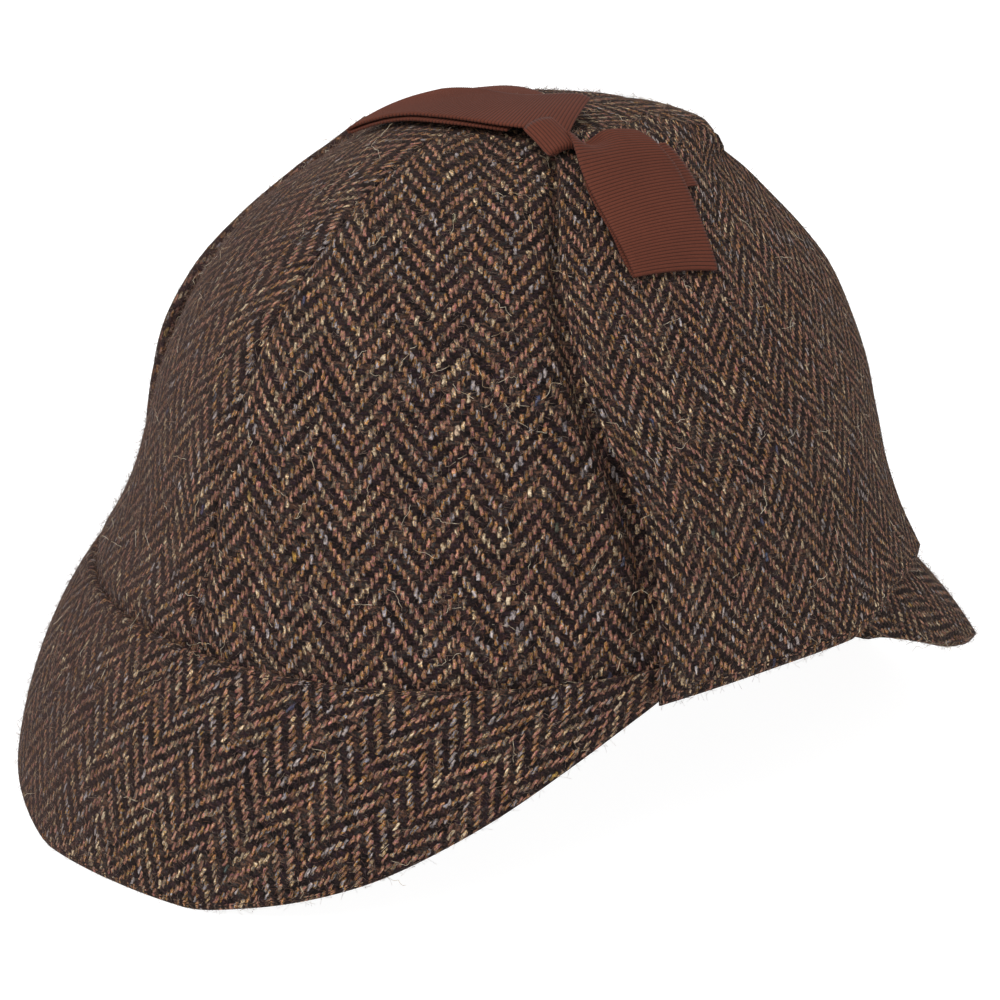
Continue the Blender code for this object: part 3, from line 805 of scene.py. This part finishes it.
def flapPoint(across, rise, out, kind):
    front, rear = lookUp(kind["rows"], rise, 1), lookUp(kind["rows"], rise, 2)
    turn = math.radians(front + (rear - front) * across)
    edge = max(0.0, 1 - 3 * across) ** 2
    begin, finish = flap["lifted"]
    lift = kind["lift"] * edge * math.sin(math.pi * min(1.0, begin + (1 - begin) * rise / finish))
    if kind["side"] > 0:
        near = max(0.0, rise / kind["rows"][-1][0] - flap["rearFrom"]) / (1 - flap["rearFrom"])
        lift += flap["rearLift"] * across**4 * near
    begin, finish = flap["dropEnds"]
    beyond = min(1.0, max(0.0, (math.degrees(turn) - begin) / (finish - begin)))
    hang = flap["drop"] * (1 - beyond) + flap["corner"] * edge
    drop = hang / crown["rise"] * (1 - rise) ** 6
    return crownPoint(turn * kind["side"], rise - drop, out + lift)


def makeFlap(node, kind):
    top = kind["rows"][-1][0]
    rises = evenRises(math.radians(90) * kind["side"], 0.0, top, flap["rows"])
    places = evenSteps(0, 1, flap["columns"])

    def grid(out):
        return [[flapPoint(a, rise, out, kind) for a in places] for rise in rises]
    outer, inner = grid(flap["clear"] + flap["thick"]), grid(flap["clear"])
    flat = flatCloth(outer, 0, kind["cut"])
    obj = addShell(node + "_cloth", outer, inner, flat, flap["rim"], ["tweed", "tweed"])
    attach(obj, "root")
    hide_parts(node)
    return obj


flaps = [makeFlap("ear_flap_left", flap["left"]), makeFlap("ear_flap_right", flap["right"])]
print("ear flaps made")

ribbon = {
    "wide": 0.0235,
    "thick": 0.0006,
    "ribDeep": 0.00012,
    "swell": 0.0002,       # a rib is wider than the groove beside it
    "perRib": 6,           # rows of points to a rib
    "columns": 21,
    "rim": 0.00012,
    "roofTurns": 120,      # lengths over the crown are worked out on this many lines
    "roofSteps": 159,
    "roofRise": 0.62,      # and down by this share of its height
    "loopFar": {
        "node": "ribbon_loop_far",
        "start": (20.0, -9.0), "heading": (-0.985, -0.17),
        # along, height, shift, in mm, share of the width, and turn in degrees; the last three may
        # be left out
        "path": [
            (8.5, 2.6, 0.0, 0.80, 8), (12.0, 2.3, 0.0, 0.88, 4), (17.0, 2.05, 0.3, 0.94, 0),
            (23.0, 1.95, 0.5, 1.0, -6), (30.0, 1.95, 0.5, 1.0, -14), (37.0, 1.95, 0.5, 1.0, -24),
            (42.0, 1.95, 0.8, 0.98, -32), (45.0, 2.0, 1.2, 0.96, -37), (46.0, 2.55, 1.3, 0.96, -38),
            (45.0, 3.1, 1.2, 0.96, -37), (42.0, 3.15, 0.9, 0.96, -32), (37.0, 3.15, 0.9, 0.95, -25),
            (30.0, 3.15, 1.2, 0.90, -15), (24.0, 3.2, 1.6, 0.86, -5), (18.0, 3.4, 1.6, 0.83, 3),
            (12.0, 3.9, 0.9, 0.84, 10), (6.5, 4.7, -0.6, 0.87, 15), (2.0, 5.45, -2.4, 0.90, 19),
            (-1.0, 5.65, -3.6, 0.92, 21), (-2.8, 5.25, -4.0, 0.92, 21),
        ],
    },
    "loopNear": {
        "node": "ribbon_loop_near",
        # a fold in its neck: how deep, where and how long in mm, where across and how wide in shares
        "gather": (4.0, 9.6, 3.8, -0.20, 0.17),
        "start": (32.4, -8.6), "heading": (0.985, -0.15),
        "path": [
            (6.5, 5.9, 0.0, 0.80), (4.0, 5.9, 0.6, 0.74, -8), (0.6, 6.1, 0.8, 0.66, -14),
            (-1.4, 6.8, 0.8, 0.66, -16), (-0.6, 7.7, 0.8, 0.68, -16), (3.0, 8.3, 0.6, 0.78, -12),
            (7.0, 8.3, 0.0, 0.88, -6), (11.0, 7.9, 0.0, 0.97, -2), (16.0, 7.6), (21.0, 7.4),
            (26.0, 7.3, 0.0, 1.0, -2), (30.5, 7.0, 0.0, 1.0, -4), (33.5, 6.6, 0.0, 1.0, -6),
            (35.2, 6.3, 0.0, 1.0, -7), (35.7, 5.7, 0.0, 1.0, -7), (34.9, 5.1, 0.0, 1.0, -7),
            (32.0, 4.9, 0.0, 1.0, -6), (28.5, 5.2, 0.0, 1.0, -5), (25.5, 5.8, 0.0, 1.0, -3),
            (22.0, 6.05), (18.0, 6.05), (14.0, 6.05, 0.0, 0.98), (10.0, 6.0, 0.0, 0.92),
        ],
    },
    "knot": {
        "node": "ribbon_knot",
        "folds": (4.5, 0.4, 0.75),    # half its folded width, and the two folds' radius, in mm
        "start": (26.6, -12.5), "heading": (-0.20, -0.98),
        "path": [
            (1.5, 6.75), (3.5, 7.1), (5.5, 7.0), (7.4, 6.4), (8.4, 5.6), (7.8, 4.95), (6.0, 4.75),
        ],
    },
    "tail": {
        "node": "ribbon_tail",
        "start": (37.6, -4.2), "heading": (1.0, 0.0),
        "path": [(0.0, 4.9, 0.0, 0.95), (4.0, 4.9), (8.0, 4.9), (12.0, 4.9)],
    },
    "strap": {
        "node": "ribbon_strap",
        "start": (-48.3, 8.0), "heading": (0.986, -0.169),
        "path": [
            (0.7, 2.3), (2.5, 1.9), (4.5, 1.2), (7.0, 0.8, -0.3), (13.0, 0.75, -0.8),
            (20.0, 0.75, -0.8), (27.0, 0.75, -0.7), (35.0, 0.75, -1.0), (42.0, 0.75, -2.0),
            (47.0, 0.8, -3.0, 0.98), (50.5, 1.0, -3.7, 0.95),
        ],
    },
}


def makeRoof():
    # for each turn, how far each rise lies from the top, measured over the crown
    turns, steps = ribbon["roofTurns"], ribbon["roofSteps"]
    rises = [1.0 - ribbon["roofRise"] * (k / steps) ** 2 for k in range(steps + 1)]
    table = []
    for n in range(turns + 1):
        turn = -math.pi + 2 * math.pi * n / turns
        table.append((lengthsAlong([crownPoint(turn, rise) for rise in rises]), rises))
    return table


roof = makeRoof()


def roofPoint(east, north, lift):
    # a plan of true lengths laid over the crown from its top
    walk = math.hypot(east, north)
    turn = math.atan2(east, -north)
    spot = (turn + math.pi) / (2 * math.pi) * ribbon["roofTurns"]
    n = min(ribbon["roofTurns"] - 1, int(spot))
    found = []
    for walks, rises in (roof[n], roof[n + 1]):
        k, share = findStep(walks, walk)
        found.append(rises[k] + (rises[k + 1] - rises[k]) * share)
    rise = found[0] + (found[1] - found[0]) * (spot - n)
    return crownPoint(turn, rise, lift)


def smoothPath(path, step):
    # even steps along a smooth curve through the path's rows
    fine = []
    for k in range(len(path) - 1):
        rows = [Vector(path[min(len(path) - 1, max(0, k + d))]) for d in (-1, 0, 1, 2)]
        for n in range(40):
            t = n / 40
            fine.append(0.5 * (2 * rows[1] + (rows[2] - rows[0]) * t
                               + (2 * rows[0] - 5 * rows[1] + 4 * rows[2] - rows[3]) * t**2
                               + (3 * rows[1] - rows[0] - 3 * rows[2] + rows[3]) * t**3))
    fine.append(Vector(path[-1]))
    gone = [0.0]
    for a, b in zip(fine, fine[1:]):
        gone.append(gone[-1] + math.hypot(b[0] - a[0], b[1] - a[1]))
    count = int(gone[-1] / step) + 1
    out = []
    for want in evenSteps(0, gone[-1], count):
        k, share = findStep(gone, want)
        out.append((want, fine[k].lerp(fine[k + 1], share)))
    return out


def foldAcross(side, out, folds):
    # sideways place and height of a point, with the ribbon's two sides folded under
    if not folds or abs(side) < folds[0]:
        return side, out
    half = folds[0]
    radius = folds[1] if side < 0 else folds[2]
    over = abs(side) - half
    if over < math.pi * radius:
        angle = over / radius
        reach = half + (radius + out) * math.sin(angle)
        return math.copysign(reach, side), (radius + out) * math.cos(angle) - radius
    return math.copysign(half - (over - math.pi * radius), side), -2 * radius - out


def makeRibbon(kind):
    (startEast, startNorth), (goEast, goNorth) = kind["start"], kind["heading"]
    size = math.hypot(goEast, goNorth)
    goEast, goNorth = goEast / size, goNorth / size
    rib = grosgrain["ribMm"]
    plain = (0.0, 0.0, 0.0, 1.0, 0)
    path = [row + plain[len(row):] for row in kind["path"]]
    rows = smoothPath(path, rib / ribbon["perRib"])
    deep, place, reach, middle, spread = kind.get("gather", (0.0, 0.0, 1.0, 0.0, 1.0))
    sides = evenSteps(-0.5, 0.5, ribbon["columns"])
    top, bottom, flat = [], [], []
    for k, (gone, (along, height, shift, share, turn)) in enumerate(rows):
        before, after = rows[max(0, k - 1)][1], rows[min(len(rows) - 1, k + 1)][1]
        da, dh = after[0] - before[0], after[1] - before[1]
        length = math.hypot(da, dh)
        level, tilt = math.cos(math.radians(turn)), math.sin(math.radians(turn))
        swell = abs(math.sin(math.pi * gone / rib)) ** 0.7
        half = (ribbon["thick"] / 2 + ribbon["ribDeep"] * (swell - 0.5)) * 1000
        wide = (ribbon["wide"] * share + ribbon["swell"] * swell) * 1000
        trough = deep * math.exp(-((gone - place) / reach) ** 2)
        rowTop, rowBottom, rowFlat = [], [], []
        for s in sides:
            for row, sign in ((rowTop, 1), (rowBottom, -1)):
                across, out = foldAcross(s * wide, half * sign, kind.get("folds"))
                a = along - dh / length * out - across * tilt
                side = shift + across * level
                h = height + da / length * out - trough * math.exp(-((s - middle) / spread) ** 2)
                row.append(roofPoint((startEast + a * goEast - side * goNorth) / 1000,
                                     (startNorth + a * goNorth + side * goEast) / 1000, h / 1000))
            rowFlat.append((s * wide / 1000, gone / 1000))
        top.append(rowTop)
        bottom.append(rowBottom)
        flat.append(rowFlat)
    obj = addShell(kind["node"] + "_woven", top, bottom, flat, ribbon["rim"], ["ribbon", "ribbon"],
                   arcs=3)
    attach(obj, "root")
    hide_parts(kind["node"])
    print(kind["node"], "length in mm", round(rows[-1][0], 1))


for name in ("loopFar", "loopNear", "knot", "tail", "strap"):
    makeRibbon(ribbon[name])
print("ribbon made")

fibres = {
    "kemp": {              # coarse pale hairs that stray out of the cloth
        "density": 4600.0, "lengthMm": 4.2, "radiusMm": 0.05, "curlMm": 5.0, "waveMm": 2.0,
        "liftDeg": 8.0, "points": 14, "seed": 4,
        "material": "kemp_wool", "rough": 0.5, "spotMm": 3.5,
        "stops": [(0.0, "8a7458"), (0.45, "b8a68c"), (0.6, "d9cdb6"), (1.0, "7c6a58")],
    },
    "fuzz": {              # short fibre all over it
        "density": 400000.0, "lengthMm": 1.9, "radiusMm": 0.028, "curlMm": 1.8, "waveMm": 1.2,
        "liftDeg": 22.0, "points": 3, "seed": 11,
        "material": "wool_fuzz", "rough": 0.8, "spotMm": 3.5,
        "stops": [
            (0.0, "2a1c18"), (0.3, "7a543c"), (0.5, "3a2e38"), (0.65, "9c8674"), (1.0, "583430"),
        ],
    },
}


def makeFibre(settings):
    # loose wool fibre, each one near to one colour
    material, tree = newMaterial(settings["material"])
    place = addNode(tree, "ShaderNodeTexCoord").outputs["Object"]
    field = addNode(tree, "ShaderNodeTexNoise",
                    {"Vector": place, "Scale": 1000 / settings["spotMm"], "Detail": 1.0})
    field = addNode(tree, "ShaderNodeMapRange", {"Value": field, 1: 0.3, 2: 0.7})
    colour = addNode(tree, "ShaderNodeValToRGB", {0: field})
    fillRamp(colour, settings["stops"])
    shader = addNode(tree, "ShaderNodeBsdfPrincipled",
                     {"Base Color": colour, "Roughness": settings["rough"],
                      "Specular IOR Level": 0.3})
    addNode(tree, "ShaderNodeOutputMaterial", {"Surface": shader})
    return material


def makeFibreTree(name, material):
    tree = bpy.data.node_groups.new(name, "GeometryNodeTree")
    tree.interface.new_socket("Geometry", in_out="OUTPUT", socket_type="NodeSocketGeometry")
    tree.interface.new_socket("Geometry", in_out="INPUT", socket_type="NodeSocketGeometry")
    for label in ("Density", "Length", "Radius", "Curl", "Wave", "Lift", "Points", "Seed"):
        kind = "NodeSocketInt" if label in ("Points", "Seed") else "NodeSocketFloat"
        tree.interface.new_socket(label, in_out="INPUT", socket_type=kind)
    given = addNode(tree, "NodeGroupInput").outputs
    slotIndex = addNode(tree, "GeometryNodeInputMaterialIndex")
    outside = addNode(tree, "FunctionNodeCompare", {2: slotIndex, 3: 0}, data_type="INT",
                      operation="EQUAL")
    scattered = addNode(tree, "GeometryNodeDistributePointsOnFaces",
                        {"Mesh": given["Geometry"], "Selection": outside,
                         "Density": given["Density"], "Seed": given["Seed"]})
    line = addNode(tree, "GeometryNodeCurvePrimitiveLine",
                   {"Direction": (1, 0, 0), "Length": given["Length"]}, mode="DIRECTION")
    hair = addNode(tree, "GeometryNodeResampleCurve", {"Curve": line, "Count": given["Points"]})
    spin = addNode(tree, "FunctionNodeRandomValue",
                   {2: 0.0, 3: 2 * math.pi, "Seed": given["Seed"]}, data_type="FLOAT")
    negative = addNode(tree, "ShaderNodeMath", {0: given["Lift"], 1: -2.0}, operation="MULTIPLY")
    tilt = addNode(tree, "FunctionNodeRandomValue", {2: negative, 3: 0.0, "Seed": 7}, data_type="FLOAT")
    euler = addNode(tree, "ShaderNodeCombineXYZ", {1: tilt, 2: spin})
    lean = addNode(tree, "FunctionNodeEulerToRotation", {0: euler})
    turned = addNode(tree, "FunctionNodeRotateRotation", {0: scattered.outputs["Rotation"], 1: lean},
                     rotation_space="LOCAL")
    size = addNode(tree, "FunctionNodeRandomValue", {2: 0.35, 3: 1.5, "Seed": 3}, data_type="FLOAT")
    laid = addNode(tree, "GeometryNodeInstanceOnPoints",
                   {"Points": scattered, "Instance": hair, "Rotation": turned, "Scale": size})
    loose = addNode(tree, "GeometryNodeRealizeInstances", {0: laid})
    spot = addNode(tree, "GeometryNodeInputPosition")
    waves = addNode(tree, "ShaderNodeMath", {0: 1.0, 1: given["Wave"]}, operation="DIVIDE")
    field = addNode(tree, "ShaderNodeTexNoise", {"Vector": spot, "Scale": waves, "Detail": 1.0})
    bend = addNode(tree, "ShaderNodeVectorMath", {0: field.outputs["Color"], 1: (0.5, 0.5, 0.5)},
                   operation="SUBTRACT")
    root = addNode(tree, "GeometryNodeSplineParameter")
    amount = addNode(tree, "ShaderNodeMath", {0: root, 1: given["Curl"]}, operation="MULTIPLY")
    bend = addNode(tree, "ShaderNodeVectorMath", {0: bend, "Scale": amount}, operation="SCALE")
    curled = addNode(tree, "GeometryNodeSetPosition", {"Geometry": loose, "Offset": bend})
    ring = addNode(tree, "GeometryNodeCurvePrimitiveCircle",
                   {"Resolution": 3, "Radius": given["Radius"]})
    solid = addNode(tree, "GeometryNodeCurveToMesh",
                    {"Curve": curled, "Profile Curve": ring, "Fill Caps": False})
    whole = addNode(tree, "GeometryNodeRealizeInstances", {0: solid})
    done = addNode(tree, "GeometryNodeSetMaterial", {"Geometry": whole, "Material": material})
    addNode(tree, "NodeGroupOutput", {0: done})
    return tree


def growFibres(name, carriers, settings, tree):
    # all the carriers' fibres end in one plain mesh
    parts = []
    for number, carrier in enumerate(carriers):
        source = addObject("source", carrier.data.copy())
        modifier = source.modifiers.new("fibres", "NODES")
        modifier.node_group = tree
        values = {"Density": settings["density"], "Length": settings["lengthMm"] / 1000,
                  "Radius": settings["radiusMm"] / 1000, "Curl": settings["curlMm"] / 1000,
                  "Wave": settings["waveMm"] / 1000, "Lift": math.radians(settings["liftDeg"]),
                  "Points": settings["points"], "Seed": settings["seed"] + number}
        for item in tree.interface.items_tree:
            if item.name in values:
                modifier[item.identifier] = values[item.name]
        bpy.context.view_layer.update()
        graph = bpy.context.evaluated_depsgraph_get()
        parts.append(bpy.data.meshes.new_from_object(source.evaluated_get(graph)))
        bpy.data.objects.remove(source)
    points, faces = [], []
    for part in parts:
        start = len(points)
        points += [tuple(v.co) for v in part.vertices]
        faces += [[start + k for k in p.vertices] for p in part.polygons]
    mesh = bpy.data.meshes.new(name)
    mesh.from_pydata(points, [], faces)
    mesh.materials.append(parts[0].materials[0])
    for polygon in mesh.polygons:
        polygon.use_smooth = True
    obj = addObject(name, mesh)
    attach(obj, "root")
    print(name, len(mesh.polygons), "faces")


trees = {kind: makeFibreTree("grow_" + kind, makeFibre(fibres[kind])) for kind in fibres}
growFibres("kemp_hairs", panels + peaks + flaps, fibres["kemp"], trees["kemp"])
for carrier in panels + peaks + flaps:
    growFibres("fuzz_" + carrier.name, [carrier], fibres["fuzz"], trees["fuzz"])
print("fibres grown")

studio = {
    "floor": "8c8c8c",
    "floorSize": 12.0,
    "floorGap": 0.0001,    # under the hat
    "glow": 0.95,          # a light table, so that shadows on it are faint
    "world": 0.62,
    "lampSize": 1.2,
    "aim": (0.0, 0.0, 0.08),
    "lamps": {             # watts and place
        "key": (31.0, (0.4, -1.1, 1.55)),
        "fill": (0.3, (1.6, -0.3, 0.8)),
    },
}


def makeStudio():
    bpy.ops.mesh.primitive_plane_add(size=studio["floorSize"], location=(0, 0, -studio["floorGap"]))
    floor = bpy.context.object
    floor.name = "floor"
    material, tree = newMaterial("pale_floor")
    shader = addNode(tree, "ShaderNodeBsdfPrincipled",
                     {"Base Color": toLinear(studio["floor"]), "Roughness": 0.9,
                      "Emission Color": (1, 1, 1, 1), "Emission Strength": studio["glow"]})
    addNode(tree, "ShaderNodeOutputMaterial", {"Surface": shader})
    floor.data.materials.append(material)
    world = bpy.data.worlds.new("studio")
    bpy.context.scene.world = world
    world.use_nodes = True
    background = world.node_tree.nodes["Background"]
    background.inputs["Color"].default_value = (1, 1, 1, 1)
    background.inputs["Strength"].default_value = studio["world"]
    for name, (watts, place) in studio["lamps"].items():
        data = bpy.data.lights.new(name, "AREA")
        data.energy = watts
        data.size = studio["lampSize"]
        lamp = addObject(name, data)
        lamp.location = place
        towards = Vector(studio["aim"]) - Vector(place)
        lamp.rotation_euler = towards.to_track_quat("-Z", "Y").to_euler()
    bpy.context.scene.view_settings.view_transform = "Standard"


makeStudio()
print("studio lit")
